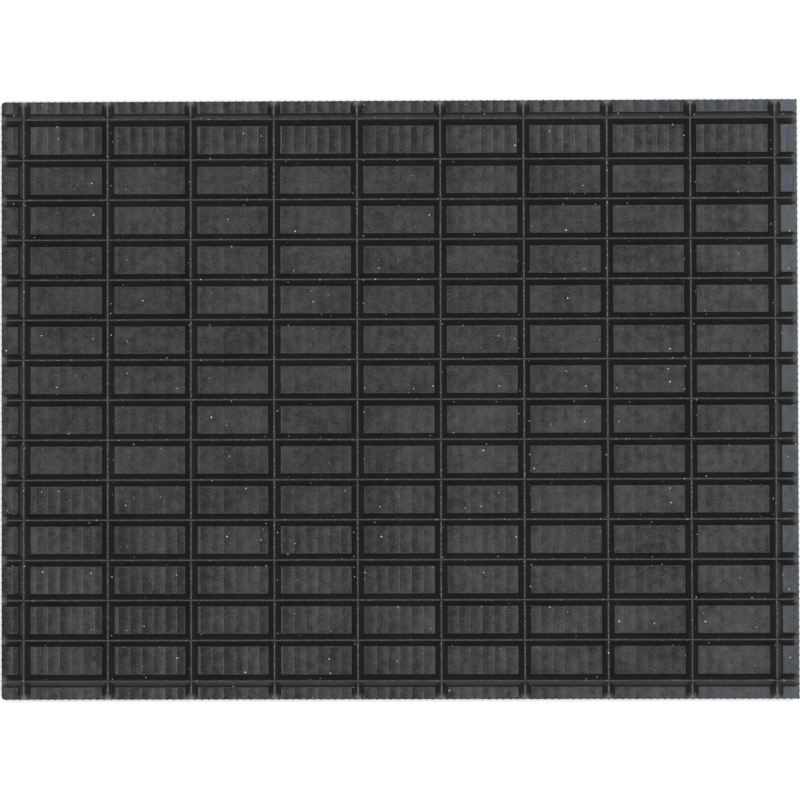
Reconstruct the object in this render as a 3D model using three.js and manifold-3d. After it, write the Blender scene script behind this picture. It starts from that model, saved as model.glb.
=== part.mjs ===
// A rubber fingertip door mat, lying with its ribbed side up. All sizes are in millimetres.
//
// The mat is a thin sheet with a field of short round fingers on one side, which scrape the shoes,
// and a grid of tapered ribs on the other, which stands on the ground and lets water drain.
// X runs along the mat, Y across it, and Z up. The origin is the middle of the plane that the
// fingertips touch. Each rib, the sheet and each zone of fingers is a separate closed solid.

import * as THREE from 'three';
import { mergeVertices } from 'three/addons/utils/BufferGeometryUtils.js';
import Module from 'manifold-3d';

const wasm = await Module();
wasm.setup();

// ---------------------------------------------------------------- driving dimensions

const MAT_LENGTH = 798; // along X, over the outermost fingers
const MAT_WIDTH = 600; // along Y, over the outermost fingers

const SHEET_THICKNESS = 2.5;
const SHEET_CORNER_RADIUS = 3;

const FINGER_HEIGHT = 6.5;
const FINGER_OVERHANG = 0.5; // the outermost fingers stand this far proud of the sheet's edge
const FINGER_ZONES_ALONG = 3;
const FINGER_ZONES_ACROSS = 3;
const FINGER_ZONE_GAP = 0.6;

const RIB_HEIGHT = 7; // of a long rib
const RIB_BASE_WIDTH = 13;
const RIB_TOP_WIDTH = 1.5;
const RIB_END_LENGTH = 6; // from the middle of a rib's round end to where the end is trimmed off
const RIB_END_INSET = 0.2; // from the sheet's edge to the trimmed ends of the ribs
const RIB_LAP_HEIGHT = 3.5; // where two crossing ribs change over, measured from the sheet
const RIB_LAP_CLEARANCE = 0.36; // gap left all round between two crossing ribs

const LONG_RIB_COUNT = 15;
const LONG_RIB_INSET = 18.7; // from the sheet's long edge to the outermost long rib's centre line
const LONG_RIB_END_BAY_EXTRA = 0.6; // the bay next to each edge is this much wider than the others

const CROSS_RIB_COUNT = 10;
const CROSS_RIB_DROP = 0.5; // a cross rib's top lies this much below a long rib's
const CROSS_RIB_INSET = 22.9; // from the sheet's short edge to the outermost cross rib's centre line
const CROSS_RIB_END_BAY_EXTRA = 0.9;

// Facets on a quarter of a round corner or rib end, and how far a cutting solid runs past its work.
const ARC_FACETS = 4;
const CUT_OVERRUN = 0.5;

// ---------------------------------------------------------------- heights and outlines

const sheetBottom = FINGER_HEIGHT;
const sheetTop = sheetBottom + SHEET_THICKNESS;
const ribTop = sheetTop + RIB_HEIGHT;
const crossRibHeight = RIB_HEIGHT - CROSS_RIB_DROP;
const lapHeight = sheetTop + RIB_LAP_HEIGHT;
const sheetLength = MAT_LENGTH - 2 * FINGER_OVERHANG;
const sheetWidth = MAT_WIDTH - 2 * FINGER_OVERHANG;

const rubber = {
  sheet: new THREE.MeshStandardMaterial({ color: 0x353535, roughness: 0.55, metalness: 0 }),
  ribs: new THREE.MeshStandardMaterial({ color: 0x262626, roughness: 0.5, metalness: 0 }),
  fingers: new THREE.MeshStandardMaterial({ color: 0x2b2b2b, roughness: 0.6, metalness: 0 }),
};

// A rectangle with round corners, centred on the origin.
function roundedRectangle(length, width, radius) {
  const x = length / 2;
  const y = width / 2;
  const outline = new THREE.Shape();
  outline.moveTo(-x + radius, -y);
  outline.lineTo(x - radius, -y);
  outline.absarc(x - radius, -y + radius, radius, -Math.PI / 2, 0);
  outline.lineTo(x, y - radius);
  outline.absarc(x - radius, y - radius, radius, 0, Math.PI / 2);
  outline.lineTo(-x + radius, y);
  outline.absarc(-x + radius, y - radius, radius, Math.PI / 2, Math.PI);
  outline.lineTo(-x, -y + radius);
  outline.absarc(-x + radius, -y + radius, radius, Math.PI, Math.PI * 1.5);
  return outline;
}

// An outline raised from one height to another. Both heights are set exactly, so that pieces that
// share a height seat face to face.
function raised(outline, bottom, top) {
  const geometry = new THREE.ExtrudeGeometry(outline, {
    depth: 1,
    steps: 1,
    bevelEnabled: false,
    curveSegments: ARC_FACETS,
  });
  const position = geometry.attributes.position;
  for (let i = 0; i < position.count; i += 1) {
    position.setZ(i, position.getZ(i) > 0.5 ? top : bottom);
  }
  return geometry;
}

// ---------------------------------------------------------------- joining and cutting

function toSolid(geometry) {
  const bare = geometry.clone();
  bare.deleteAttribute('normal');
  bare.deleteAttribute('uv');
  const merged = mergeVertices(bare);
  return new wasm.Manifold(new wasm.Mesh({
    numProp: 3,
    vertProperties: new Float32Array(merged.attributes.position.array),
    triVerts: new Uint32Array(merged.index.array),
  }));
}

function toGeometry(solid) {
  const cut = solid.getMesh();
  const geometry = new THREE.BufferGeometry();
  geometry.setAttribute('position', new THREE.BufferAttribute(cut.vertProperties, 3));
  geometry.setIndex(new THREE.BufferAttribute(cut.triVerts, 1));
  geometry.computeVertexNormals();
  return geometry;
}

// ---------------------------------------------------------------- ribs

// The full width, at a level, of a rib of a given height, on its straight flanks.
function ribWidthAt(level, ribHeight) {
  const share = (level - sheetTop) / ribHeight;
  return RIB_BASE_WIDTH + (RIB_TOP_WIDTH - RIB_BASE_WIDTH) * share;
}

// The centre lines of one row of ribs: evenly spaced, with a wider bay next to each edge.
function ribCentres(count, sheetSide, inset, endBayExtra) {
  const outermost = sheetSide / 2 - inset;
  const pitch = (2 * outermost - 2 * endBayExtra) / (count - 1);
  const centres = [];
  for (let i = 0; i < count; i += 1) {
    const steps = i - (count - 1) / 2;
    const isOutermost = i === 0 || i === count - 1;
    centres.push(steps * pitch + (isOutermost ? Math.sign(steps) * endBayExtra : 0));
  }
  return centres;
}

// A whole rib along X: straight flanks that lean in, and ends that are half cones. Each cone is
// trimmed off square, close to the sheet's edge.
function ribBlank(length, ribHeight) {
  const endRadius = RIB_BASE_WIDTH / 2;
  const spineEnd = length / 2 - RIB_END_LENGTH;
  const outline = roundedRectangle(2 * (spineEnd + endRadius), RIB_BASE_WIDTH, endRadius);
  const geometry = raised(outline, sheetTop, sheetTop + ribHeight);
  const taper = RIB_TOP_WIDTH / RIB_BASE_WIDTH;
  const position = geometry.attributes.position;
  for (let i = 0; i < position.count; i += 1) {
    if (position.getZ(i) === Math.fround(sheetTop + ribHeight)) {
      const spine = THREE.MathUtils.clamp(position.getX(i), -spineEnd, spineEnd);
      position.setX(i, spine + (position.getX(i) - spine) * taper);
      position.setY(i, position.getY(i) * taper);
    }
  }
  const trim = new THREE.BoxGeometry(length, RIB_BASE_WIDTH + 2 * CUT_OVERRUN, 2 * ribHeight);
  trim.translate(0, 0, sheetTop + ribHeight / 2);
  return toSolid(geometry).intersect(toSolid(trim));
}

// The space that a crossing rib takes out of a rib along X, between two levels: the crossing
// rib's own section with the clearance added on both sides, at a place along X.
function crossingCut(x, crossingHeight, bottom, top) {
  const lower = ribWidthAt(bottom, crossingHeight) / 2 + RIB_LAP_CLEARANCE;
  const upper = ribWidthAt(top, crossingHeight) / 2 + RIB_LAP_CLEARANCE;
  const section = new THREE.Shape();
  section.moveTo(-lower, bottom);
  section.lineTo(lower, bottom);
  section.lineTo(upper, top);
  section.lineTo(-upper, top);
  const reach = RIB_BASE_WIDTH + 2 * CUT_OVERRUN;
  const geometry = new THREE.ExtrudeGeometry(section, { depth: reach, bevelEnabled: false });
  geometry.rotateX(Math.PI / 2);
  geometry.translate(x, reach / 2, 0);
  return toSolid(geometry);
}

function ribWithCuts(length, ribHeight, crossings, crossingHeight, bottom, top) {
  let rib = ribBlank(length, ribHeight);
  for (const crossing of crossings) {
    rib = rib.subtract(crossingCut(crossing, crossingHeight, bottom, top));
  }
  return toGeometry(rib);
}

const twoDigits = (number) => String(number).padStart(2, '0');

const longRibCentres = ribCentres(
  LONG_RIB_COUNT,
  sheetWidth,
  LONG_RIB_INSET,
  LONG_RIB_END_BAY_EXTRA,
);
const crossRibCentres = ribCentres(
  CROSS_RIB_COUNT,
  sheetLength,
  CROSS_RIB_INSET,
  CROSS_RIB_END_BAY_EXTRA,
);

// The long ribs run over the cross ribs: each is open from below where a cross rib passes.
function longRibs() {
  const row = new THREE.Group();
  const geometry = ribWithCuts(
    sheetLength - 2 * RIB_END_INSET,
    RIB_HEIGHT,
    crossRibCentres,
    crossRibHeight,
    sheetTop - CUT_OVERRUN,
    lapHeight + RIB_LAP_CLEARANCE / 2,
  );
  longRibCentres.forEach((y, index) => {
    const rib = new THREE.Mesh(geometry, rubber.ribs);
    rib.name = `long_rib_${twoDigits(index + 1)}`;
    rib.position.set(0, y, 0);
    row.add(rib);
  });
  return row;
}

// The cross ribs run under the long ribs: each is open from above where a long rib passes.
function crossRibs() {
  const row = new THREE.Group();
  const geometry = ribWithCuts(
    sheetWidth - 2 * RIB_END_INSET,
    crossRibHeight,
    longRibCentres,
    RIB_HEIGHT,
    lapHeight - RIB_LAP_CLEARANCE / 2,
    ribTop + CUT_OVERRUN,
  );
  crossRibCentres.forEach((x, index) => {
    const rib = new THREE.Mesh(geometry, rubber.ribs);
    rib.name = `cross_rib_${twoDigits(index + 1)}`;
    rib.position.set(x, 0, 0);
    rib.rotation.z = Math.PI / 2;
    row.add(rib);
  });
  return row;
}

// ---------------------------------------------------------------- backing sheet

function backingSheet() {
  const outline = roundedRectangle(sheetLength, sheetWidth, SHEET_CORNER_RADIUS);
  const sheet = new THREE.Mesh(raised(outline, sheetBottom, sheetTop), rubber.sheet);
  sheet.name = 'backing_sheet';
  return sheet;
}

// ---------------------------------------------------------------- fingers

// The names of the zones, from one side of the mat to the other.
function zoneNames(count, first, middle, last) {
  if (count === 1) return [middle];
  const names = [first];
  for (let i = 1; i < count - 1; i += 1) names.push(count === 3 ? middle : `${middle}_${i}`);
  names.push(last);
  return names;
}

// Where one zone starts and ends on one side of the mat. The outermost zones run past the field.
function zoneSpan(index, count, side) {
  const start = (index / count - 0.5) * side;
  const end = ((index + 1) / count - 0.5) * side;
  return [
    index === 0 ? start - CUT_OVERRUN : start + FINGER_ZONE_GAP / 2,
    index === count - 1 ? end + CUT_OVERRUN : end - FINGER_ZONE_GAP / 2,
  ];
}

// The fingers stand under the sheet in a field as large as the mat. Each zone of the field is the
// plain envelope of its fingers, cut out of that field with a narrow gap to the next zone.
function fingerZones() {
  const field = toSolid(raised(
    roundedRectangle(MAT_LENGTH, MAT_WIDTH, SHEET_CORNER_RADIUS + FINGER_OVERHANG),
    0,
    sheetBottom,
  ));
  const zones = new THREE.Group();
  const along = zoneNames(FINGER_ZONES_ALONG, 'left', 'centre', 'right');
  const across = zoneNames(FINGER_ZONES_ACROSS, 'front', 'middle', 'back');
  across.forEach((rowName, row) => {
    along.forEach((columnName, column) => {
      const [left, right] = zoneSpan(column, FINGER_ZONES_ALONG, MAT_LENGTH);
      const [front, back] = zoneSpan(row, FINGER_ZONES_ACROSS, MAT_WIDTH);
      const cutter = new THREE.BoxGeometry(
        right - left,
        back - front,
        FINGER_HEIGHT + 2 * CUT_OVERRUN,
      );
      cutter.translate((left + right) / 2, (front + back) / 2, FINGER_HEIGHT / 2);
      const zone = new THREE.Mesh(toGeometry(field.intersect(toSolid(cutter))), rubber.fingers);
      zone.name = `fingers_${rowName}_${columnName}`;
      zones.add(zone);
    });
  });
  return zones;
}

// ---------------------------------------------------------------- the mat

const mat = new THREE.Group();
mat.add(backingSheet(), longRibs(), crossRibs(), fingerZones());

export default mat;
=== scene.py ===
import math

import bmesh
import bpy
import numpy as np
from mathutils import Matrix, Vector


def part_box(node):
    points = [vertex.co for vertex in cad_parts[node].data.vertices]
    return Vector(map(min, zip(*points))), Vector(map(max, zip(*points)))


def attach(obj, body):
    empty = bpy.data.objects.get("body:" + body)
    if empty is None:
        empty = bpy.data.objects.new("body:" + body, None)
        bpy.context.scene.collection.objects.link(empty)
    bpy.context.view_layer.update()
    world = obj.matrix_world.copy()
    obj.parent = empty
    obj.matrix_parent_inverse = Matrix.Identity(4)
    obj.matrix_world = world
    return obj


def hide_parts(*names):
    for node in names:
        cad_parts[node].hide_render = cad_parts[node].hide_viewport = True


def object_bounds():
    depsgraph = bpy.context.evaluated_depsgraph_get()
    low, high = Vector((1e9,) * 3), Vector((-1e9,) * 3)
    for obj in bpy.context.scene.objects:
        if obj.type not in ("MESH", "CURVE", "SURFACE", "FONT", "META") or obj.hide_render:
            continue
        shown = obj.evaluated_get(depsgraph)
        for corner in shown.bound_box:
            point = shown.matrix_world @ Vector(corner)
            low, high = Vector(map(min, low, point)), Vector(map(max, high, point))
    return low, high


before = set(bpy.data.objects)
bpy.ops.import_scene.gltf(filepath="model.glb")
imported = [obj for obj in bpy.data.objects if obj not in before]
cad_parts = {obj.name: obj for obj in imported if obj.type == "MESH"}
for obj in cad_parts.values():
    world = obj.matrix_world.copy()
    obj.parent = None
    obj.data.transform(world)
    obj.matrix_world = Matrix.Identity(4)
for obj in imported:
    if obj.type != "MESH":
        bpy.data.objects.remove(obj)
cad_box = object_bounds()


# =============================================================================================
# Backing sheet. A flat web of black rubber that carries everything else. It was pressed against
# a plate faced with a wide cutter, so faint tool marks cross it in even strips.
# The band along its edge is a piece of its own, so this one stops short of it.

MILLIMETRE = 0.001
sheet_low, sheet_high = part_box("backing_sheet")
EDGE_BAND_WIDTH = 3.0 * MILLIMETRE
STRIP_PITCH = 11.74 * MILLIMETRE
STRIP_LIP_WIDTH = 0.22 * MILLIMETRE
STRIP_LIP_HEIGHT = 0.07 * MILLIMETRE
STRIP_STEP = 0.03 * MILLIMETRE
SHEET_WAVE = 0.05 * MILLIMETRE
SHEET_WAVE_X = 71 * MILLIMETRE
SHEET_WAVE_Y = 53 * MILLIMETRE
LIP_WAVE_SHORTEST = 90 * MILLIMETRE
LIP_WAVE_LONGEST = 350 * MILLIMETRE
SHEET_ROWS = 56


def grid_faces(rows, columns):
    """Quads between the neighbours of a grid of vertices, counted row by row."""
    corner = np.arange(rows * columns).reshape(rows, columns)
    quads = (corner[:-1, :-1], corner[:-1, 1:], corner[1:, 1:], corner[1:, :-1])
    return np.stack([side.ravel() for side in quads], axis=1)


def add_piece(name, vertices, faces, material, slot, flat_angle=35, marks=None):
    """A closed mesh from its corners and faces, with doubles merged and normals turned outwards.

    Edges sharper than flat_angle degrees stay crisp. The piece moves with the mat's only body.
    Marks gives names to sets of values, one value per corner, for the piece's material to read.
    """
    mesh = bpy.data.meshes.new(name)
    mesh.from_pydata(vertices.reshape(-1, 3), [], faces)
    for label, values in (marks or {}).items():
        mark = mesh.attributes.new(label, "FLOAT", "POINT")
        mark.data.foreach_set("value", values.astype(np.float32).ravel())
    shape = bmesh.new()
    shape.from_mesh(mesh)
    bmesh.ops.remove_doubles(shape, verts=shape.verts, dist=0.001 * MILLIMETRE)
    bmesh.ops.recalc_face_normals(shape, faces=shape.faces)
    shape.to_mesh(mesh)
    shape.free()
    mesh.shade_smooth()
    mesh.set_sharp_from_angle(angle=math.radians(flat_angle))
    mesh.materials.append(material)
    piece = bpy.data.objects.new(name, mesh)
    bpy.context.scene.collection.objects.link(piece)
    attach(piece, "root")
    return piece


def effect_group(name, inputs, outputs):
    """An empty shader group with the named inputs, each with its default value, and outputs."""
    group = bpy.data.node_groups.new(name, "ShaderNodeTree")
    for label, kind, value in inputs:
        socket = group.interface.new_socket(label, in_out="INPUT", socket_type=kind)
        if value is not None:
            socket.default_value = value
    for label, kind in outputs:
        group.interface.new_socket(label, in_out="OUTPUT", socket_type=kind)
    return group, group.nodes.new("NodeGroupInput"), group.nodes.new("NodeGroupOutput")


def math_node(tree, operation, first, second=0.5, clamp=False):
    """One sum on two values, each of them a socket or a number. Returns the result's socket."""
    node = tree.nodes.new("ShaderNodeMath")
    node.operation = operation
    node.use_clamp = clamp
    for socket, value in zip(node.inputs, (first, second)):
        if isinstance(value, bpy.types.NodeSocket):
            tree.links.new(value, socket)
        else:
            socket.default_value = value
    return node.outputs[0]


def ramp_node(tree, value, start, end, low=0.0, high=1.0):
    """A value that goes smoothly from low to high while its input goes from start to end."""
    node = tree.nodes.new("ShaderNodeMapRange")
    node.interpolation_type = "SMOOTHSTEP"
    for label, setting in zip(("From Min", "From Max", "To Min", "To Max"), (start, end, low, high)):
        if isinstance(setting, bpy.types.NodeSocket):
            tree.links.new(setting, node.inputs[label])
        else:
            node.inputs[label].default_value = setting
    tree.links.new(value, node.inputs["Value"])
    return node.outputs["Result"]


def noise_node(tree, vector, size, detail=3.0, roughness=0.55):
    """Cloudy noise whose patches are about size across, in metres. Returns its value's socket."""
    node = tree.nodes.new("ShaderNodeTexNoise")
    node.inputs["Scale"].default_value = 1.0 / size
    node.inputs["Detail"].default_value = detail
    node.inputs["Roughness"].default_value = roughness
    tree.links.new(vector, node.inputs["Vector"])
    return node.outputs["Fac"]


def mix_colors(tree, share, first, second):
    """Colour first where share is 0 and colour second where it is 1."""
    node = tree.nodes.new("ShaderNodeMix")
    node.data_type = "RGBA"
    tree.links.new(share, node.inputs["Factor"])
    for socket, value in zip((node.inputs[6], node.inputs[7]), (first, second)):
        if isinstance(value, bpy.types.NodeSocket):
            tree.links.new(value, socket)
        else:
            socket.default_value = (*value, 1.0)
    return node.outputs[2]


def press_bloom():
    """The cloudy tone of pressed rubber: broad patches, small blotches and a fine grain.

    Tone is about 1 on average. Patches and blotches swing it by Strength, and the grain by
    Graininess. Grain is the height of the surface's grain.
    """
    group, given, result = effect_group(
        "Press bloom",
        [
            ("Vector", "NodeSocketVector", None),
            ("Strength", "NodeSocketFloat", 0.5),
            ("Graininess", "NodeSocketFloat", 0.5),
        ],
        [("Tone", "NodeSocketFloat"), ("Grain", "NodeSocketFloat")],
    )
    vector = given.outputs["Vector"]
    broad = noise_node(group, vector, 60 * MILLIMETRE, detail=2.0)
    blotch = noise_node(group, vector, 9 * MILLIMETRE, detail=4.0, roughness=0.6)
    grain = noise_node(group, vector, 1.5 * MILLIMETRE, detail=3.0, roughness=0.7)
    both = math_node(group, "ADD", math_node(group, "MULTIPLY", broad, 0.8), blotch)
    centred = math_node(group, "MULTIPLY", math_node(group, "SUBTRACT", both, 0.9), 2.0)
    swing = math_node(group, "MULTIPLY", centred, given.outputs["Strength"])
    fine = math_node(group, "SUBTRACT", grain, 0.5)
    fine = math_node(group, "MULTIPLY", fine, given.outputs["Graininess"])
    tone = math_node(group, "ADD", math_node(group, "ADD", swing, fine), 1.0)
    group.links.new(math_node(group, "MAXIMUM", tone, 0.1), result.inputs["Tone"])
    group.links.new(grain, result.inputs["Grain"])
    return group


def dust_specks():
    """Crumbs of dust. One may lie in each cell of a loose grid, and Share of the cells have one.

    Size is the largest crumb's radius. Stretch makes the crumbs that many times longer across the
    mat than they are wide, as short bits of lint are.
    """
    group, given, result = effect_group(
        "Dust specks",
        [
            ("Vector", "NodeSocketVector", None),
            ("Spacing", "NodeSocketFloat", 0.01),
            ("Size", "NodeSocketFloat", 0.001),
            ("Share", "NodeSocketFloat", 0.2),
            ("Stretch", "NodeSocketFloat", 1.0),
        ],
        [("Mask", "NodeSocketFloat")],
    )
    apart = group.nodes.new("ShaderNodeSeparateXYZ")
    group.links.new(given.outputs["Vector"], apart.inputs[0])
    together = group.nodes.new("ShaderNodeCombineXYZ")
    group.links.new(apart.outputs["X"], together.inputs["X"])
    across = math_node(group, "DIVIDE", apart.outputs["Y"], given.outputs["Stretch"])
    group.links.new(across, together.inputs["Y"])
    cells = group.nodes.new("ShaderNodeTexVoronoi")
    cells.voronoi_dimensions = "2D"
    group.links.new(together.outputs[0], cells.inputs["Vector"])
    group.links.new(math_node(group, "DIVIDE", 1.0, given.outputs["Spacing"]), cells.inputs["Scale"])
    chance = group.nodes.new("ShaderNodeSeparateColor")
    group.links.new(cells.outputs["Color"], chance.inputs[0])
    limit = math_node(group, "SUBTRACT", 1.0, given.outputs["Share"])
    present = math_node(group, "GREATER_THAN", chance.outputs["Red"], limit)
    share_of_cell = math_node(group, "DIVIDE", given.outputs["Size"], given.outputs["Spacing"])
    skew = math_node(group, "POWER", chance.outputs["Green"], 2.0)
    uneven = math_node(group, "ADD", math_node(group, "MULTIPLY", skew, 0.65), 0.35)
    radius = math_node(group, "MULTIPLY", share_of_cell, uneven)
    core = math_node(group, "MULTIPLY", radius, 0.55)
    near = ramp_node(group, cells.outputs["Distance"], core, radius, 1.0, 0.0)
    group.links.new(math_node(group, "MULTIPLY", near, present), result.inputs["Mask"])
    return group


def place_group(tree, group, vector, **settings):
    """One copy of an effect in a material, fed with the piece's own coordinates."""
    node = tree.nodes.new("ShaderNodeGroup")
    node.node_tree = group
    tree.links.new(vector, node.inputs["Vector"])
    for label, value in settings.items():
        node.inputs[label].default_value = value
    return node


def crumbs(spacing, size, share):
    """Settings for the dust effect, from a spacing and a size in millimetres."""
    return {"Spacing": spacing * MILLIMETRE, "Size": size * MILLIMETRE, "Share": share}


def start_material(name):
    """A material with its shader and the piece's own coordinates. Returns both and the tree."""
    material = bpy.data.materials.new(name)
    material.use_nodes = True
    tree = material.node_tree
    place = tree.nodes.new("ShaderNodeTexCoord")
    return material, tree, tree.nodes["Principled BSDF"], place.outputs["Object"]


def add_grain_bump(tree, shader, grain, distance):
    """Turns the grain's height into relief that is distance deep."""
    bump = tree.nodes.new("ShaderNodeBump")
    bump.inputs["Distance"].default_value = distance
    tree.links.new(grain, bump.inputs["Height"])
    tree.links.new(bump.outputs["Normal"], shader.inputs["Normal"])


BLOOM = press_bloom()
SPECKS = dust_specks()
DUST_COLOR = (0.55, 0.55, 0.53)
FINE_DUST_COLOR = (0.11, 0.11, 0.11)
FAINT_DUST_COLOR = (0.045, 0.045, 0.045)
SHEET_COLOR = (0.0194, 0.0193, 0.0197)
# The pale colour of the lips between strips is a painted highlight; the scratches share it.
LIP_GLINT_AND_SCRATCH_COLOR = (0.090, 0.090, 0.092)
# Painted light: a bluish reflection of the window on the rubber at the right, grey at the very edge.
PAINTED_WINDOW_COLOR = (0.062, 0.075, 0.097)
PAINTED_WINDOW_GREY = (0.088, 0.083, 0.079)
TINT_PATCH = 9 * MILLIMETRE
DUST_DRIFT = 22 * MILLIMETRE
SHEET_GRAIN = 0.05 * MILLIMETRE


def scaled_color(tree, color, factor):
    """A colour made lighter or darker by a factor that changes over the surface."""
    node = tree.nodes.new("ShaderNodeVectorMath")
    node.operation = "SCALE"
    node.inputs[0].default_value = color
    tree.links.new(factor, node.inputs["Scale"])
    return node.outputs[0]


def stretched_noise(tree, vector, size_x, size_y, detail=2.0):
    """Noise in streaks, about size_x wide and size_y long, in metres."""
    squeeze = tree.nodes.new("ShaderNodeMapping")
    squeeze.inputs["Scale"].default_value = (1.0 / size_x, 1.0 / size_y, 1.0)
    tree.links.new(vector, squeeze.inputs["Vector"])
    return noise_node(tree, squeeze.outputs["Vector"], 1.0, detail)


def apart_node(tree, vector):
    """A place's X, Y and Z, as three sockets."""
    node = tree.nodes.new("ShaderNodeSeparateXYZ")
    tree.links.new(vector, node.inputs[0])
    return node.outputs


# The tool marks fade from one strength to another between these places along X or Y.
BACK_ROW_START = 220 * MILLIMETRE
BACK_ROW_FULL = 265 * MILLIMETRE
FRONT_ROWS_START = -50 * MILLIMETRE
FRONT_ROWS_FULL = -160 * MILLIMETRE
LEFT_SIDE_FULL = 20 * MILLIMETRE
LEFT_SIDE_END = 250 * MILLIMETRE
WEAK_MARKS = 0.38
MARK_PATCH = 90 * MILLIMETRE


def mark_strength(tree, vector, place):
    """How strong the tool marks are: strongest in the back row of bays and in the front rows on the
    left, weaker elsewhere, and patchy everywhere.
    """
    back_row = ramp_node(tree, place["Y"], BACK_ROW_START, BACK_ROW_FULL, WEAK_MARKS, 1.40)
    front_rows = ramp_node(tree, place["Y"], FRONT_ROWS_START, FRONT_ROWS_FULL, WEAK_MARKS, 1.25)
    on_left = ramp_node(tree, place["X"], LEFT_SIDE_FULL, LEFT_SIDE_END, 1.0, 0.35)
    front_rows = math_node(tree, "MULTIPLY", front_rows, on_left)
    patch = ramp_node(tree, noise_node(tree, vector, MARK_PATCH, 2.0), 0.35, 0.65, 0.6, 1.25)
    return math_node(tree, "MULTIPLY", math_node(tree, "MAXIMUM", back_row, front_rows), patch)


LIP_REACH = 1.9 * STRIP_LIP_WIDTH
NICK_LENGTH = 1.1 * MILLIMETRE
SCRATCH_WIDTH = 1.6 * MILLIMETRE
SCRATCH_CLUSTER = 24 * MILLIMETRE


def lips_and_scratches(tree, vector, strips, strength):
    """How much shows of the nicked lip between two strips, whose pale colour is a painted
    highlight, and of the clusters of short scratches, which are fainter on a strip's left half.
    """
    reach = LIP_REACH / STRIP_PITCH
    lip = ramp_node(tree, math_node(tree, "PINGPONG", strips, 0.5), 0.3 * reach, reach, 1.0, 0.0)
    nicks = stretched_noise(tree, vector, 3 * MILLIMETRE, NICK_LENGTH)
    lip = math_node(tree, "MULTIPLY", lip, ramp_node(tree, nicks, 0.40, 0.62))
    lip = math_node(tree, "MULTIPLY", lip, strength)
    clusters = ramp_node(tree, noise_node(tree, vector, SCRATCH_CLUSTER), 0.46, 0.66)
    scratches = stretched_noise(tree, vector, SCRATCH_WIDTH, NICK_LENGTH)
    scratches = ramp_node(tree, scratches, 0.54, 0.70, 0.0, 0.6)
    scratches = math_node(tree, "MULTIPLY", scratches, clusters)
    on_right = ramp_node(tree, math_node(tree, "FRACT", strips), 0.35, 0.7, 0.35, 1.0)
    scratches = math_node(tree, "MULTIPLY", scratches, on_right)
    return math_node(tree, "ADD", lip, scratches, clamp=True)


FEED_WIDTH = 0.9 * MILLIMETRE
FEED_LENGTH = 30 * MILLIMETRE
TEETH_WIDTH = 4 * MILLIMETRE
TEETH_LENGTH = 1.0 * MILLIMETRE
TEETH_FADE_END = 300 * MILLIMETRE


def cutter_strips(tree, vector):
    """The tool marks. Returns how much of a lip shows, and how far the tone is off its average.

    Counting strips along X gives each one a whole number, which draws its tone. Every strip is
    darker on its left and lighter on its right, where a lip ends it: painted shade and light for
    the strip's slope. Fine feed marks run along a strip, and finer ones from the cutter's teeth
    across it.
    """
    place = apart_node(tree, vector)
    strips = math_node(tree, "DIVIDE", place["X"], STRIP_PITCH)
    strength = mark_strength(tree, vector, place)
    lip = lips_and_scratches(tree, vector, strips, strength)
    draws = tree.nodes.new("ShaderNodeTexWhiteNoise")
    draws.noise_dimensions = "1D"
    tree.links.new(math_node(tree, "FLOOR", strips), draws.inputs["W"])
    own = math_node(tree, "SUBTRACT", draws.outputs["Value"], 0.5)
    own = math_node(tree, "MULTIPLY", own, 0.4)
    # Painted shade and light: each strip darker on its left and lighter on its right, for its slope.
    side = ramp_node(tree, math_node(tree, "FRACT", strips), 0.38, 0.85, -0.24, 0.30)
    feed = math_node(tree, "SUBTRACT", stretched_noise(tree, vector, FEED_WIDTH, FEED_LENGTH), 0.5)
    tone = math_node(tree, "ADD", math_node(tree, "ADD", side, own), feed)
    tone = math_node(tree, "MULTIPLY", tone, strength)
    teeth = math_node(tree, "SUBTRACT", stretched_noise(tree, vector, TEETH_WIDTH, TEETH_LENGTH), 0.5)
    teeth_gain = ramp_node(tree, place["X"], 0.0, TEETH_FADE_END, 2.6, 1.7)
    teeth = math_node(tree, "MULTIPLY", teeth, teeth_gain)
    return lip, math_node(tree, "ADD", tone, teeth)


def tinted(tree, vector, color, size, gain):
    """A colour whose red, green and blue each wander by about gain, in patches of a size."""
    patches = tree.nodes.new("ShaderNodeTexNoise")
    patches.inputs["Scale"].default_value = 1.0 / size
    patches.inputs["Detail"].default_value = 2.0
    tree.links.new(vector, patches.inputs["Vector"])
    factor = tree.nodes.new("ShaderNodeVectorMath")
    factor.operation = "MULTIPLY_ADD"
    tree.links.new(patches.outputs["Color"], factor.inputs[0])
    factor.inputs[1].default_value = (gain, gain, gain)
    factor.inputs[2].default_value = (1 - gain / 2, 1 - gain / 2, 1 - gain / 2)
    node = tree.nodes.new("ShaderNodeVectorMath")
    node.operation = "MULTIPLY"
    tree.links.new(color, node.inputs[0])
    tree.links.new(factor.outputs[0], node.inputs[1])
    return node.outputs[0]


# Where the painted window light on the right spreads into the corners, and how it changes from front
# to back.
PAINTED_WINDOW_CORNER_START = 150 * MILLIMETRE
PAINTED_WINDOW_CORNER_FULL = 390 * MILLIMETRE
PAINTED_WINDOW_FRONT = -300 * MILLIMETRE
PAINTED_WINDOW_BACK = 250 * MILLIMETRE
# Painted light: the sheet's tone rises towards the right up to this distance.
LIGHTER_RIGHT_END = 400 * MILLIMETRE
# Beyond the outermost long ribs the rubber is painted paler: painted light on the margins, which
# no rib shades. The ribs hide most of the change, which runs between these two distances off the
# mat's middle.
OUTSIDE_START = 272 * MILLIMETRE
OUTSIDE_FULL = 288 * MILLIMETRE


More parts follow.
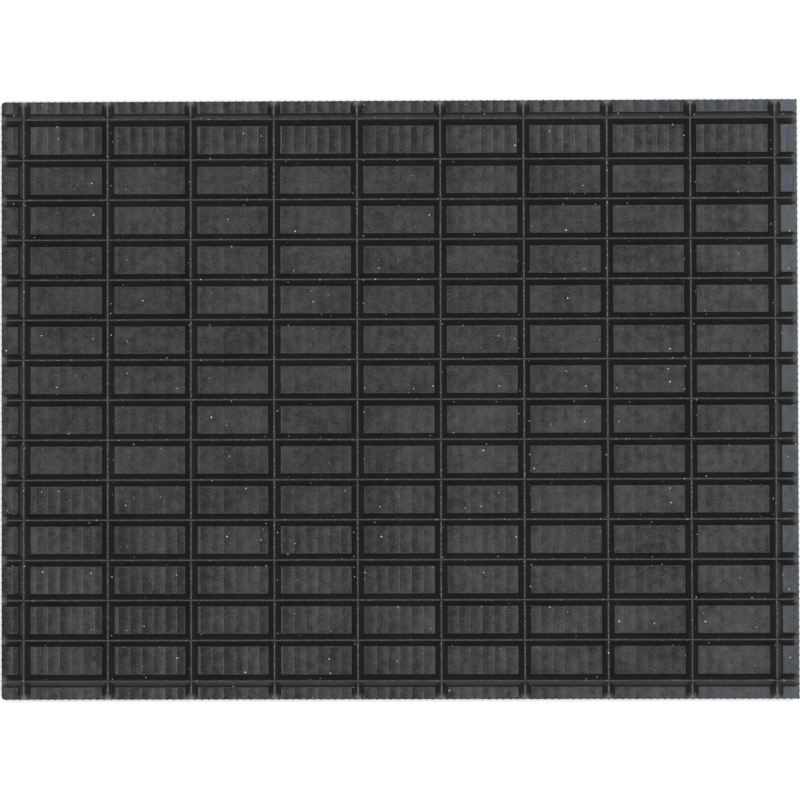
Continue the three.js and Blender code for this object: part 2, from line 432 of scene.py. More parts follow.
def painted_window_light(tree, vector):
    """Painted light: a bluish reflection of the window on the rubber to the right of the last cross
    rib, turning a neutral grey at the very edge. Returns how much of it shows and its colour.
    """
    place = apart_node(tree, vector)
    off_middle = math_node(tree, "ABSOLUTE", place["Y"])
    rib_low, rib_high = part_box("cross_rib_10")
    shown = ramp_node(tree, place["X"], rib_low.x, rib_high.x, 0.0, 0.60)
    corner = ramp_node(tree, off_middle, OUTSIDE_START, OUTSIDE_FULL, 0.0, 0.34)
    rightmost = ramp_node(tree, place["X"], PAINTED_WINDOW_CORNER_START, PAINTED_WINDOW_CORNER_FULL)
    corner = math_node(tree, "MULTIPLY", corner, rightmost)
    backwards = ramp_node(tree, place["Y"], PAINTED_WINDOW_FRONT, PAINTED_WINDOW_BACK, 0.66, 1.05)
    clouds = stretched_noise(tree, vector, 6 * MILLIMETRE, 16 * MILLIMETRE, 4.0)
    clouds = ramp_node(tree, clouds, 0.3, 0.7, 0.65, 1.3)
    shown = math_node(tree, "MULTIPLY", math_node(tree, "ADD", shown, corner), backwards)
    shown = math_node(tree, "MULTIPLY", shown, clouds, clamp=True)
    streaks = stretched_noise(tree, vector, 4 * MILLIMETRE, 10 * MILLIMETRE, 3.0)
    grey = ramp_node(tree, streaks, 0.46, 0.70, 0.0, 0.8)
    edge = sheet_high.x
    at_edge = ramp_node(tree, place["X"], edge - 5 * MILLIMETRE, edge - 1 * MILLIMETRE, 0.0, 0.9)
    grey = math_node(tree, "MAXIMUM", grey, at_edge)
    return shown, mix_colors(tree, grey, PAINTED_WINDOW_COLOR, PAINTED_WINDOW_GREY)


def painted_light_factor(tree, vector):
    """A factor on the sheet's tone, all painted light: higher towards the right, and outside the
    outermost ribs.
    """
    place = apart_node(tree, vector)
    off_middle = math_node(tree, "ABSOLUTE", place["Y"])
    rib_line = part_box("cross_rib_01")[1].x
    rightwards = ramp_node(tree, place["X"], 0.0, LIGHTER_RIGHT_END, 1.0, 1.28)
    left = ramp_node(tree, place["X"], rib_line - 12 * MILLIMETRE, rib_line, 0.18, 0.0)
    front_back = ramp_node(tree, off_middle, OUTSIDE_START, OUTSIDE_FULL, 0.0, 0.30)
    return math_node(tree, "ADD", math_node(tree, "ADD", left, front_back), rightwards)


def add_dust(tree, vector, color):
    """The sheet's dust: faint crumbs in drifts, fine crumbs, bits of lint and a few white specks."""
    faint = place_group(tree, SPECKS, vector, **crumbs(3.2, 0.8, 0.40))
    drifts = ramp_node(tree, noise_node(tree, vector, DUST_DRIFT), 0.42, 0.62, 0.15, 1.0)
    faint_mask = math_node(tree, "MULTIPLY", faint.outputs["Mask"], drifts)
    fine = place_group(tree, SPECKS, vector, **crumbs(5, 0.5, 0.22))
    lint = place_group(tree, SPECKS, vector, **crumbs(24, 0.5, 0.20), Stretch=4.0)
    specks = place_group(tree, SPECKS, vector, **crumbs(17, 0.9, 0.20))
    color = mix_colors(tree, faint_mask, color, FAINT_DUST_COLOR)
    color = mix_colors(tree, fine.outputs["Mask"], color, FINE_DUST_COLOR)
    color = mix_colors(tree, lint.outputs["Mask"], color, FINE_DUST_COLOR)
    return mix_colors(tree, specks.outputs["Mask"], color, DUST_COLOR)


def sheet_material():
    """Black rubber with a cloudy tone, tool marks with painted shade and highlights, painted light
    towards the right, a painted bluish window light on the right, and dust.
    """
    material, tree, shader, vector = start_material("sheet_rubber")
    bloom = place_group(tree, BLOOM, vector, Strength=1.3, Graininess=2.8)
    lip, strip_tone = cutter_strips(tree, vector)
    tone = math_node(tree, "MAXIMUM", math_node(tree, "ADD", bloom.outputs["Tone"], strip_tone), 0.1)
    # Painted light: the tone is raised towards the right and outside the outermost ribs.
    tone = math_node(tree, "MULTIPLY", tone, painted_light_factor(tree, vector))
    # Painted highlight: the pale colour on the lips between strips, shared with the scratches.
    color = mix_colors(tree, lip, scaled_color(tree, SHEET_COLOR, tone), LIP_GLINT_AND_SCRATCH_COLOR)
    color = tinted(tree, vector, color, TINT_PATCH, 0.28)
    # Painted light: the bluish reflection of the window on the right.
    window_light_share, window_light_color = painted_window_light(tree, vector)
    color = mix_colors(tree, window_light_share, color, window_light_color)
    tree.links.new(add_dust(tree, vector, color), shader.inputs["Base Color"])
    shader.inputs["Specular IOR Level"].default_value = 0.19
    tree.links.new(ramp_node(tree, tone, 0.4, 1.6, 0.52, 0.42), shader.inputs["Roughness"])
    add_grain_bump(tree, shader, bloom.outputs["Grain"], SHEET_GRAIN)
    return material


SHEET_RUBBER = sheet_material()


def strip_relief(x, y, seed=11):
    """Height of the tool marks: a bell-shaped lip at every strip's edge, and a step between strips.

    Each lip rises and sinks along the mark as a slow sine of its own.
    """
    draw = np.random.default_rng(seed)
    strip_count = 2 * math.ceil(sheet_high.x / STRIP_PITCH) + 2
    wave_length = draw.uniform(LIP_WAVE_SHORTEST, LIP_WAVE_LONGEST, strip_count)
    phase = draw.uniform(0, 2 * math.pi, strip_count)
    step = draw.uniform(-1, 1, strip_count) * STRIP_STEP
    nearest = np.rint(x / STRIP_PITCH).astype(int)
    index = nearest + strip_count // 2
    off_lip = x - nearest * STRIP_PITCH
    shown = 0.55 + 0.45 * np.sin(2 * math.pi * y / wave_length[index] + phase[index])
    lip = STRIP_LIP_HEIGHT * shown * np.exp(-((off_lip / STRIP_LIP_WIDTH) ** 2))
    strip = np.floor(x / STRIP_PITCH).astype(int) + strip_count // 2
    return lip + step[strip] * np.clip(np.abs(off_lip) / STRIP_LIP_WIDTH - 0.2, 0, 1)


def sheet_web():
    """A slab whose top is a grid over X and Y, with columns close together at each tool mark.

    The top's height is its plane, the tool marks and a slow wave, faded out at the edges.
    """
    half_length = sheet_high.x - EDGE_BAND_WIDTH
    half_width = sheet_high.y - EDGE_BAND_WIDTH
    marks = np.arange(-math.floor(half_length / STRIP_PITCH), half_length / STRIP_PITCH)
    beside = np.array([-1.6, -0.8, 0, 0.8, 1.6]) * STRIP_LIP_WIDTH
    columns = (marks[:, None] * STRIP_PITCH + beside).ravel()
    between = (marks[:-1, None] + np.array([0.25, 0.5, 0.75])).ravel() * STRIP_PITCH
    columns = np.unique(np.concatenate([columns, between]))
    columns = columns[np.abs(columns) < half_length - 0.4 * MILLIMETRE]
    columns = np.concatenate([[-half_length], columns, [half_length]])
    rows = np.linspace(-half_width, half_width, SHEET_ROWS)
    x, y = np.meshgrid(columns, rows)
    inside = np.minimum(half_length - np.abs(x), half_width - np.abs(y))
    fade = np.clip(inside / (10 * MILLIMETRE), 0, 1)
    wave = SHEET_WAVE * np.sin(x / SHEET_WAVE_X + 1.0) * np.sin(y / SHEET_WAVE_Y + 0.4)
    top = sheet_high.z + (strip_relief(x, y) + wave) * fade
    bottom = np.full_like(x, sheet_low.z)
    upper = np.stack([x, y, top], axis=-1)
    lower = np.stack([x, y, bottom], axis=-1)
    quads = grid_faces(*x.shape)
    count = x.size
    around = np.concatenate([
        np.arange(len(columns)),
        np.arange(1, SHEET_ROWS) * len(columns) + len(columns) - 1,
        (SHEET_ROWS - 1) * len(columns) + np.arange(len(columns) - 2, -1, -1),
        np.arange(SHEET_ROWS - 2, 0, -1) * len(columns),
    ])
    after = np.roll(around, -1)
    walls = np.stack([around + count, after + count, after, around], axis=1)
    faces = np.concatenate([quads, quads[:, ::-1] + count, walls])
    return np.concatenate([upper.reshape(-1, 3), lower.reshape(-1, 3)]), faces


web = add_piece("backing_sheet_web", *sheet_web(), SHEET_RUBBER, "sheet_rubber")
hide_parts("backing_sheet")


# =============================================================================================
# Edge band. The last few millimetres of the sheet, all round. Its outer face swells over the
# root of every outermost finger, so the mat's outline is a row of small even bumps.

FINGER_PITCH_ALONG = 7.0 * MILLIMETRE
FINGER_ROOT_RADIUS = 1.7 * MILLIMETRE
mat_high = cad_box[1]
finger_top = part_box("fingers_middle_centre")[1].z
SHEET_CORNER_RADIUS = 3.0 * MILLIMETRE
EDGE_POINT_SPACING = 0.58 * MILLIMETRE
SWELL_FADE = 1.3 * MILLIMETRE
SWELL_RADIUS = 2.0 * MILLIMETRE
EDGE_SETBACK = 0.2 * MILLIMETRE


def finger_rows():
    """Where the fingers stand: two square lattices, one half a step off the other both ways.

    The first lattice has the front and back rows and the right column, the second the left one.
    """
    reach_x = mat_high.x - FINGER_ROOT_RADIUS
    reach_y = mat_high.y - FINGER_ROOT_RADIUS
    steps_x = round(2 * reach_x / FINGER_PITCH_ALONG - 0.5)
    steps_y = round(2 * reach_y / FINGER_PITCH_ALONG)
    pitch_x = 2 * reach_x / (steps_x + 0.5)
    pitch_y = 2 * reach_y / steps_y
    first_x = reach_x - pitch_x * np.arange(steps_x, -1, -1)
    first_y = -reach_y + pitch_y * np.arange(steps_y + 1)
    second_x = -reach_x + pitch_x * np.arange(steps_x + 1)
    second_y = first_y[:-1] + pitch_y / 2
    return first_x, first_y, second_x, second_y


first_x, first_y, second_x, second_y = finger_rows()


def outline_path():
    """Points, outward directions and bump heights round the sheet, by sides and corner arcs.

    A bump is the part of a finger's round root, with the small fillet round it, that stands
    outside the sheet's straight edge.
    """
    half_length = sheet_high.x - EDGE_SETBACK
    half_width = sheet_high.y - EDGE_SETBACK
    straight_x = half_length - SHEET_CORNER_RADIUS
    straight_y = half_width - SHEET_CORNER_RADIUS
    sides = (
        ((straight_x, -half_width), (-1, 0), (0, -1), 2 * straight_x, first_x, True),
        ((-half_length, -straight_y), (0, 1), (-1, 0), 2 * straight_y, second_y, False),
        ((-straight_x, half_width), (1, 0), (0, 1), 2 * straight_x, first_x, False),
        ((half_length, straight_y), (0, -1), (1, 0), 2 * straight_y, first_y, True),
    )
    points, outwards, bumps = [], [], []
    for start, along, out, length, roots, backwards in sides:
        count = math.ceil(length / EDGE_POINT_SPACING)
        distance = np.linspace(0, length, count + 1)
        line = np.array(start) + distance[:, None] * np.array(along)
        place = line @ np.abs(np.array(along))
        off_root = np.abs(place[:, None] - roots[None, :]).min(axis=1)
        rise = np.sqrt(np.clip(SWELL_RADIUS**2 - off_root**2, 0, None))
        inset = SWELL_RADIUS - (mat_high.x - half_length)
        bump = np.clip(rise - inset, 0, None)
        points.append(line)
        outwards.append(np.tile(np.array(out, float), (count + 1, 1)))
        bumps.append(bump)
        turn = np.linspace(0, math.pi / 2, 9)[1:-1]
        start_angle = math.atan2(out[1], out[0])
        angle = start_angle - turn
        centre = line[-1] - SHEET_CORNER_RADIUS * np.array(out)
        ray = np.stack([np.cos(angle), np.sin(angle)], axis=1)
        points.append(centre + SHEET_CORNER_RADIUS * ray)
        outwards.append(ray)
        bumps.append(np.zeros(len(turn)))
    return np.concatenate(points), np.concatenate(outwards), np.concatenate(bumps)


def edge_band():
    """A closed ring: a profile of (inset, height, share of the bump) carried round the outline."""
    points, outwards, bumps = outline_path()
    top, low = sheet_high.z, sheet_low.z
    round_off = 0.35 * MILLIMETRE
    width = EDGE_BAND_WIDTH - EDGE_SETBACK
    profile = np.array([
        (width, low, 0.0),
        (width, top, 0.0),
        (round_off, top, 0.0),
        (round_off * 0.3, top - round_off * 0.3, 0.0),
        (0.0, top - round_off, 0.1),
        (0.0, low + SWELL_FADE * 0.75, 0.7),
        (0.0, low + SWELL_FADE * 0.35, 1.0),
        (0.0, low, 1.0),
        (width, low, 0.0),
    ])
    out = bumps[:, None] * profile[None, :, 2] - profile[None, :, 0]
    flat = points[:, None, :] + out[..., None] * outwards[:, None, :]
    height = np.broadcast_to(profile[:, 1], out.shape)
    ring = np.concatenate([flat, height[..., None]], axis=-1)
    ring = np.concatenate([ring, ring[:1]])
    return ring, grid_faces(*ring.shape[:2])


add_piece("sheet_edge_band", *edge_band(), SHEET_RUBBER, "sheet_rubber")


# =============================================================================================
# Ribs. Fifteen along the mat and ten across it, cut into the mould with one tapered cutter, so
# they have leaning flanks, a narrow top and ends that are half cones, trimmed off square
# near the mat's edge. They grow out of the sheet, with a small bead of rubber along their feet.
# Their dark colour is painted shade, and their tops, beads and ends carry painted highlights.

RIB_TOP_RADIUS = 0.65 * MILLIMETRE
RIB_END_LENGTH = 6.0 * MILLIMETRE
RIB_POINT_SPACING = 3.0 * MILLIMETRE
RIB_ROOT_DEPTH = 0.5 * MILLIMETRE
BEAD_WIDTH = 0.45 * MILLIMETRE
BEAD_HEIGHT = 0.09 * MILLIMETRE
# Painted shade: the ribs' colour is darker than the sheet's, for their steep flanks.
RIB_SHADED_COLOR = (0.0088, 0.0088, 0.0090)
# Painted highlight along the bead at a rib's foot.
BEAD_HIGHLIGHT_COLOR = (0.035, 0.035, 0.035)
# Painted glints in beads along a rib's ridge.
RIDGE_GLINT_COLOR = (0.16, 0.16, 0.155)
BEAD_HIGHLIGHT_FULL = 0.06 * MILLIMETRE
BEAD_HIGHLIGHT_END = 0.22 * MILLIMETRE
TOP_COLOR_START = 0.45 * MILLIMETRE
TOP_COLOR_FULL = 0.20 * MILLIMETRE
RIB_GRAIN = 0.03 * MILLIMETRE
# Painted highlight on the half cones facing the mat's edge, and on the top near the ends.
END_HIGHLIGHT_ANGLE = 46.0
END_HIGHLIGHT_FADE = 0.28
TOP_HIGHLIGHT = 0.5
TOP_HIGHLIGHT_DEPTH = 0.4 * MILLIMETRE
# How far before a half cone's middle the top's painted highlight starts, and is full.
TOP_HIGHLIGHT_START = 10 * MILLIMETRE
TOP_HIGHLIGHT_FULL = 6 * MILLIMETRE
TOP_WANDER = 0.10 * MILLIMETRE
SIDE_DRIFT = 0.16 * MILLIMETRE
RIB_WAVES = 7
RIB_WAVE_SHORTEST = 12 * MILLIMETRE
RIB_WAVE_LONGEST = 160 * MILLIMETRE


def rib_material(name, rib_top, top_color, patch_size, patch_start, end_color):
    """Darker than the sheet, as painted shade for the ribs' steep flanks; the ribs are also smoother
    than the sheet.

    The bead along the foot and the top are picked out by their height over the sheet: the bead
    is painted paler as a highlight, and the top in beads of painted ridge highlight. The top gets
    pale painted glints where noise of patch_size rises over patch_start. Near the mat's edge the
    rib is painted to end_color, a highlight, where the mesh's own mark for the ends is 1.
    """
    material, tree, shader, vector = start_material(name)
    bloom = place_group(tree, BLOOM, vector, Strength=0.6, Graininess=1.6)
    color = scaled_color(tree, RIB_SHADED_COLOR, bloom.outputs["Tone"])
    height = apart_node(tree, vector)["Z"]
    foot = sheet_high.z
    # Painted highlight: the bead at the foot is paler.
    bead_highlight = ramp_node(tree, height, foot + BEAD_HIGHLIGHT_FULL, foot + BEAD_HIGHLIGHT_END, 1.0, 0.0)
    patchy = ramp_node(tree, noise_node(tree, vector, 6 * MILLIMETRE), 0.42, 0.6, 0.1, 1.0)
    color = mix_colors(tree, math_node(tree, "MULTIPLY", bead_highlight, patchy), color, BEAD_HIGHLIGHT_COLOR)
    # Painted highlight: the top's colour, in noisy beads.
    on_top = ramp_node(tree, height, rib_top - TOP_COLOR_START, rib_top - TOP_COLOR_FULL)
    top_tone = ramp_node(tree, noise_node(tree, vector, 4 * MILLIMETRE), 0.35, 0.65, 0.2, 1.8)
    color = mix_colors(tree, on_top, color, scaled_color(tree, top_color, top_tone))
    # Painted highlight on the ends that face the mat's edge.
    nose_highlight = tree.nodes.new("ShaderNodeAttribute")
    nose_highlight.attribute_name = "end_highlight"
    color = mix_colors(tree, ramp_node(tree, nose_highlight.outputs["Fac"], 0.25, 0.75), color, end_color)
    # Painted glints: pale patches on the top.
    wear = noise_node(tree, vector, patch_size, 3.0)
    ridge_glints = ramp_node(tree, wear, patch_start, patch_start + 0.15)
    ridge_glints = math_node(tree, "MULTIPLY", ridge_glints, on_top)
    color = mix_colors(tree, ridge_glints, color, RIDGE_GLINT_COLOR)
    specks = place_group(tree, SPECKS, vector, **crumbs(11, 0.7, 0.24))
    color = mix_colors(tree, specks.outputs["Mask"], color, DUST_COLOR)
    tree.links.new(color, shader.inputs["Base Color"])
    shader.inputs["Specular IOR Level"].default_value = 0.40
    roughness = ramp_node(tree, bloom.outputs["Tone"], 0.4, 1.6, 0.38, 0.30)
    tree.links.new(roughness, shader.inputs["Roughness"])
    add_grain_bump(tree, shader, bloom.outputs["Grain"], RIB_GRAIN)
    return material


def rib_profile(base_radius, height):
    """Half of a rib's section, from under its middle round to the middle of its top.

    Rows are (distance from the middle line, height over the sheet): the buried root, the bead on
    the sheet, the hollow at the foot, the straight flank and the rounded shoulder.
    """
    lean = (base_radius - RIB_TOP_RADIUS) / height
    shoulder = np.array([0.50, 0.30, 0.15, 0.06, 0.015]) * MILLIMETRE
    shoulder_out = np.array([0.0, 0.05, 0.15, 0.30, 0.48]) * MILLIMETRE
    root = [
        (0.0, -RIB_ROOT_DEPTH),
        (base_radius + BEAD_WIDTH, -RIB_ROOT_DEPTH),
        (base_radius + BEAD_WIDTH, 0.0),
        (base_radius + BEAD_WIDTH * 0.7, BEAD_HEIGHT),
        (base_radius + BEAD_WIDTH * 0.25, BEAD_HEIGHT),
        (base_radius, 0.15 * BEAD_HEIGHT),
        (base_radius - 0.25 * MILLIMETRE * lean, 0.25 * MILLIMETRE),
    ]
    middle_rise = np.linspace(0.15, 0.8, 5) * height
    middle = np.stack([base_radius - middle_rise * lean, middle_rise], axis=1)
    flank_top = height - shoulder
    flank = np.stack([base_radius - flank_top * lean - shoulder_out, flank_top], axis=1)
    return np.concatenate([np.array(root), middle, flank, [(0.0, height)]])


def trimmed_rings(profile, cosine):
    """The profile once for each direction, with a row moved to where the trimming plane cuts it.

    Along a direction the plane is RIB_END_LENGTH / cosine from the cone's middle. The innermost
    row that lies past it goes exactly there, at the height that the profile has at that distance.
    """
    cut = RIB_END_LENGTH / np.maximum(cosine, 0.01)
    distance = np.tile(profile[:, 0], (len(cosine), 1))
    rise = np.tile(profile[:, 1], (len(cosine), 1))
    past = distance > cut[:, None]
    past[:, :2] = False
    row = len(profile) - 1 - np.argmax(past[:, ::-1], axis=1)
    column = np.flatnonzero(past.any(axis=1))
    inwards = profile[:2:-1]
    distance[column, row[column]] = cut[column]
    rise[column, row[column]] = np.interp(cut[column], inwards[:, 0], inwards[:, 1])
    return distance, rise


def rib_shell(length, base_radius, height, seed):
    """A profile carried round a rib's middle line, past both ends, as a running track goes.

    At distance r from the middle line the track has straight sides and half circles of radius r,
    and whatever lies past the trimming plane at either end is pressed back onto it. Slow waves
    along the rib change its top's height and shift its middle line a little.

    The fourth value of a vertex is its share of painted highlight. The half cones get it where they
    face the mat's edge, within a set angle, and the rib's top gets half of it near its ends.
    """
    profile = rib_profile(base_radius, height)
    reach = length / 2 - RIB_END_LENGTH
    count = math.ceil(2 * reach / RIB_POINT_SPACING)
    side = np.linspace(-reach, reach, count + 1)
    turn = np.linspace(-math.pi / 2, math.pi / 2, 21)[1:-1]
    spine = np.concatenate([side, np.full(len(turn), reach), side[::-1], np.full(len(turn), -reach)])
    angle = np.concatenate([
        np.full(len(side), -math.pi / 2),
        turn,
        np.full(len(side), math.pi / 2),
        turn + math.pi,
    ])
    draw = np.random.default_rng(seed)
    waves = 2 * math.pi / draw.uniform(RIB_WAVE_SHORTEST, RIB_WAVE_LONGEST, RIB_WAVES)
    phases = draw.uniform(0, 2 * math.pi, RIB_WAVES)
    wander = np.sin(spine[:, None] * waves + phases).sum(axis=1) / RIB_WAVES
    drift = np.sin(spine[:, None] * waves[::-1] * 0.6 + phases).sum(axis=1) / RIB_WAVES
    distance, rise = trimmed_rings(profile, np.abs(np.cos(angle)))
    share = np.clip(rise / height, 0, 1)
    along = spine[:, None] + distance * np.cos(angle)[:, None]
    along = np.clip(along, -length / 2, length / 2)
    aside = distance * np.sin(angle)[:, None] + SIDE_DRIFT * drift[:, None] * share
    top = rise - TOP_WANDER * (wander[:, None] + 1) * share**4
    outward = np.abs(np.cos(angle)) * (np.abs(spine) >= reach)
    # Painted highlight: the ends facing the mat's edge, and the top near them.
    lit_from = math.cos(math.radians(END_HIGHLIGHT_ANGLE))
    end_highlight = np.clip((outward[:, None] - lit_from) / END_HIGHLIGHT_FADE, 0, 1)
    end_highlight = end_highlight * (rise > 2 * BEAD_HEIGHT)
    to_end = (np.abs(spine) - reach + TOP_HIGHLIGHT_START) / (TOP_HIGHLIGHT_START - TOP_HIGHLIGHT_FULL)
    top_highlight = TOP_HIGHLIGHT * np.clip(to_end, 0, 1)[:, None] * (rise > height - TOP_HIGHLIGHT_DEPTH)
    end_highlight = np.maximum(end_highlight, top_highlight)
    shell = np.stack([along, aside, top, end_highlight], axis=-1)
    shell = np.concatenate([shell, shell[:1]])
    return shell, grid_faces(*shell.shape[:2])


def add_rib(node, material, seed):
    """One rib on its CAD node's place: along X where the node is longer that way, else along Y."""
    low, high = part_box(node)
    runs_along_x = high.x - low.x > high.y - low.y
    length = ((high.x - low.x) if runs_along_x else (high.y - low.y)) - 2 * EDGE_SETBACK
    base = (high.y - low.y) if runs_along_x else (high.x - low.x)
    shell, faces = rib_shell(length, base / 2, high.z - low.z, seed)
    # The fourth value is the painted highlight on the ends.
    shell, end_highlight = shell[..., :3], shell[..., 3]
    if not runs_along_x:
        shell = np.stack([-shell[..., 1], shell[..., 0], shell[..., 2]], axis=-1)
    shell = shell + np.array([(low.x + high.x) / 2, (low.y + high.y) / 2, sheet_high.z])
    piece = add_piece(
        f"{node}_moulded",
        shell,
        faces,
        material,
        "rib_rubber",
        flat_angle=36,
        marks={"end_highlight": end_highlight},
    )
    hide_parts(node)


# The top colours and glints are painted ridge highlights; end_color is the painted highlight on the
# ends.
LONG_RIB_RUBBER = rib_material(
    "long_rib_rubber",
    rib_top=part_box("long_rib_01")[1].z,
    top_color=(0.013, 0.013, 0.013),
    patch_size=3.2 * MILLIMETRE,
    patch_start=0.59,
    end_color=(0.020, 0.020, 0.020),
)
CROSS_RIB_RUBBER = rib_material(
    "cross_rib_rubber",
    rib_top=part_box("cross_rib_01")[1].z,
    top_color=(0.009, 0.009, 0.009),
    patch_size=1.7 * MILLIMETRE,
    patch_start=0.54,
    end_color=(0.070, 0.070, 0.070),
)
for number in range(1, 16):
    add_rib(f"long_rib_{number:02d}", LONG_RIB_RUBBER, 100 + number)
for number in range(1, 11):
    add_rib(f"cross_rib_{number:02d}", CROSS_RIB_RUBBER, 200 + number)


# =============================================================================================
# Fingers. Short round fingers on a staggered grid fill the whole scraping side. Each tapers to a
# small flat tip and is moulded in one with the sheet. They stand in nine zones, one per node.

FINGER_SIDES = 8
FINGER_TIP_RADIUS = 1.1 * MILLIMETRE
FINGER_LEAN = 0.12 * MILLIMETRE
FINGER_ROOT_SINK = 0.3 * MILLIMETRE
FINGER_COLOR = (0.018, 0.018, 0.0185)


def finger_material():
    """Plain black rubber with a faint cloudy tone and a little dust."""
    material, tree, shader, vector = start_material("finger_rubber")
    bloom = place_group(tree, BLOOM, vector, Strength=0.6, Graininess=0.8)
    specks = place_group(tree, SPECKS, vector, **crumbs(14, 0.8, 0.20))
    color = scaled_color(tree, FINGER_COLOR, bloom.outputs["Tone"])
    color = mix_colors(tree, specks.outputs["Mask"], color, DUST_COLOR)
    tree.links.new(color, shader.inputs["Base Color"])
    shader.inputs["Specular IOR Level"].default_value = 0.4
    roughness = ramp_node(tree, bloom.outputs["Tone"], 0.4, 1.6, 0.52, 0.40)
    tree.links.new(roughness, shader.inputs["Roughness"])
    add_grain_bump(tree, shader, bloom.outputs["Grain"], RIB_GRAIN)
    return material


def finger_field(centres, seed):
    """Every finger as three rings of eight corners: its root, the edge of its tip and the tip.

    A ring is a circle of the finger's radius at that height. The finger's lean moves the two
    lower rings aside, and the root stays in its place under the sheet.
    """
    draw = np.random.default_rng(seed)
    lean = draw.uniform(-FINGER_LEAN, FINGER_LEAN, centres.shape)
    height = finger_top
    tip_edge = 0.45 * MILLIMETRE
    rings = np.array([
        (FINGER_ROOT_RADIUS, height + FINGER_ROOT_SINK, 0.0),
        (FINGER_TIP_RADIUS + 0.1 * MILLIMETRE, tip_edge, 1.0),
        (FINGER_TIP_RADIUS - 0.3 * MILLIMETRE, 0.0, 1.0),
    ])
    angle = np.arange(FINGER_SIDES) * 2 * math.pi / FINGER_SIDES
    circle = np.stack([np.cos(angle), np.sin(angle)], axis=1)
    flat = (
        centres[:, None, None, :]
        + lean[:, None, None, :] * rings[None, :, None, 2:3]
        + rings[None, :, None, 0:1] * circle[None, None, :, :]
    )
    tall = np.broadcast_to(rings[None, :, None, 1:2], (*flat.shape[:3], 1))
    corners = np.concatenate([flat, tall], axis=-1)
    ring_count = len(rings)
    corner = np.arange(ring_count * FINGER_SIDES).reshape(ring_count, FINGER_SIDES)
    upper, lower = corner[:-1], corner[1:]
    sides = np.stack([
        upper,
        lower,
        np.roll(lower, -1, axis=1),
        np.roll(upper, -1, axis=1),
    ], axis=-1).reshape(-1, 4)
    offsets = np.arange(len(centres))[:, None, None] * ring_count * FINGER_SIDES
    walls = (sides[None] + offsets).reshape(-1, 4).tolist()
    root_cap = (corner[0][None, None] + offsets).reshape(-1, FINGER_SIDES).tolist()
    tip_cap = (corner[-1][::-1][None, None] + offsets).reshape(-1, FINGER_SIDES).tolist()
    return corners, walls + root_cap + tip_cap


def lattice(xs, ys):
    """Every pair of one place along X and one along Y."""
    x, y = np.meshgrid(xs, ys)
    return np.stack([x.ravel(), y.ravel()], axis=1)


FINGER_RUBBER = finger_material()
all_fingers = np.concatenate([lattice(first_x, first_y), lattice(second_x, second_y)])
zone_nodes = sorted(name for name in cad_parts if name.startswith("fingers_"))
zone_boxes = [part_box(name) for name in zone_nodes]
zone_middles = np.array([((low + high) / 2)[:2] for low, high in zone_boxes])
zone_size = np.array([max(h[i] - l[i] for l, h in zone_boxes) for i in (0, 1)])
offset = np.abs(all_fingers[:, None, :] - zone_middles[None]) / zone_size
nearest_zone = offset.max(axis=2).argmin(axis=1)
for index, name in enumerate(zone_nodes):
    corners, faces = finger_field(all_fingers[nearest_zone == index], 300 + index)
    field = add_piece(f"{name}_moulded", corners, faces, FINGER_RUBBER, "finger_rubber")
    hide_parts(name)


# =============================================================================================
# Floor, lights and camera. A white table under a wide soft light and a weaker, bluish one from a
# window on the right, seen from nearly straight above.

FLOOR_SIDE = 8.0
FLOOR_COLOR = (0.93, 0.93, 0.93, 1.0)
ROOM_BRIGHTNESS = 0.32
floor_mesh = bpy.data.meshes.new("floor")
floor_corners = np.array([(-1, -1, 0), (1, -1, 0), (1, 1, 0), (-1, 1, 0)]) * FLOOR_SIDE / 2
floor_mesh.from_pydata(floor_corners, [], [(0, 1, 2, 3)])
floor_material, floor_tree, floor_shader, _ = start_material("white_table")
floor_shader.inputs["Base Color"].default_value = FLOOR_COLOR
floor_shader.inputs["Roughness"].default_value = 0.9
floor_shader.inputs["Specular IOR Level"].default_value = 0.0
floor_mesh.materials.append(floor_material)
floor = bpy.data.objects.new("floor", floor_mesh)
bpy.context.scene.collection.objects.link(floor)

world = bpy.data.worlds.new("studio")
world.use_nodes = True
background = world.node_tree.nodes["Background"]
background.inputs["Color"].default_value = (1.0, 1.0, 1.0, 1.0)
background.inputs["Strength"].default_value = ROOM_BRIGHTNESS
bpy.context.scene.world = world


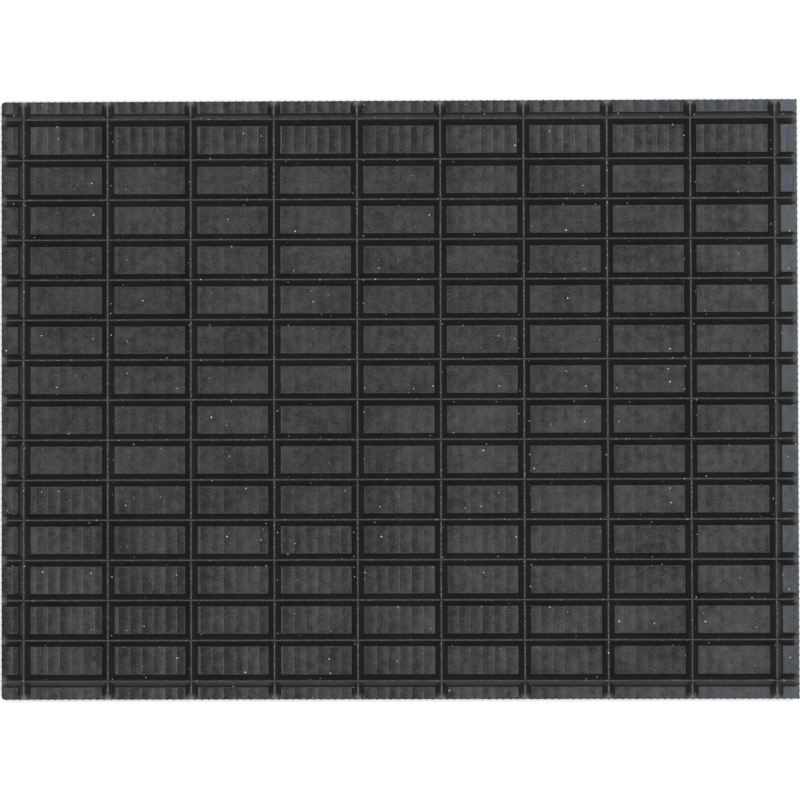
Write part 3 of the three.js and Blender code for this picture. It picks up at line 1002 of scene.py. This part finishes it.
def add_area_light(name, place, target, width, depth, power, color=(1.0, 1.0, 1.0)):
    """A rectangular soft light at a place, facing a target, unseen by the camera itself."""
    data = bpy.data.lights.new(name, "AREA")
    data.shape = "RECTANGLE"
    data.size = width
    data.size_y = depth
    data.energy = power
    data.color = color
    light = bpy.data.objects.new(name, data)
    facing = (Vector(target) - Vector(place)).to_track_quat("-Z", "Y")
    light.matrix_world = Matrix.Translation(place) @ facing.to_matrix().to_4x4()
    light.visible_camera = False
    bpy.context.scene.collection.objects.link(light)
    return light


add_area_light(
    "overhead_softbox",
    place=(0.15, 0.0, 3.2),
    target=(0.15, 0.0, 0.0),
    width=6.0,
    depth=5.4,
    power=208.0,
)
add_area_light(
    "window",
    place=(1.7, 0.7, 2.6),
    target=(0.2, 0.0, 0.0),
    width=1.2,
    depth=1.4,
    power=15.0,
    color=(0.80, 0.90, 1.0),
)

CAMERA_HEIGHT = 3.3
VIEW_WIDTH_AT_SHEET = 0.79990
SENSOR = 36.0
AIM_X = 0.85 * MILLIMETRE
AIM_Y = -0.6 * MILLIMETRE
STAND_X = 50 * MILLIMETRE
STAND_Y = -70 * MILLIMETRE
CAMERA_ROLL = math.radians(-0.163)
camera_data = bpy.data.cameras.new("camera")
camera_data.sensor_width = SENSOR
camera_data.lens = SENSOR * CAMERA_HEIGHT / VIEW_WIDTH_AT_SHEET
camera_data.clip_start = 0.1
camera_data.clip_end = 30.0
camera = bpy.data.objects.new("camera", camera_data)
aim = Vector((AIM_X, AIM_Y, sheet_high.z))
stand = aim + Vector((STAND_X, STAND_Y, CAMERA_HEIGHT))
look = (aim - stand).normalized()
right = (Vector((1, 0, 0)) - look * look.x).normalized()
up = right.cross(look)
turned_right = right * math.cos(CAMERA_ROLL) + up * math.sin(CAMERA_ROLL)
turned_up = up * math.cos(CAMERA_ROLL) - right * math.sin(CAMERA_ROLL)
rotation = Matrix((turned_right, turned_up, -look)).transposed()
camera.matrix_world = Matrix.Translation(stand) @ rotation.to_4x4()
bpy.context.scene.collection.objects.link(camera)
bpy.context.scene.camera = camera
bpy.context.scene.view_settings.view_transform = "Standard"
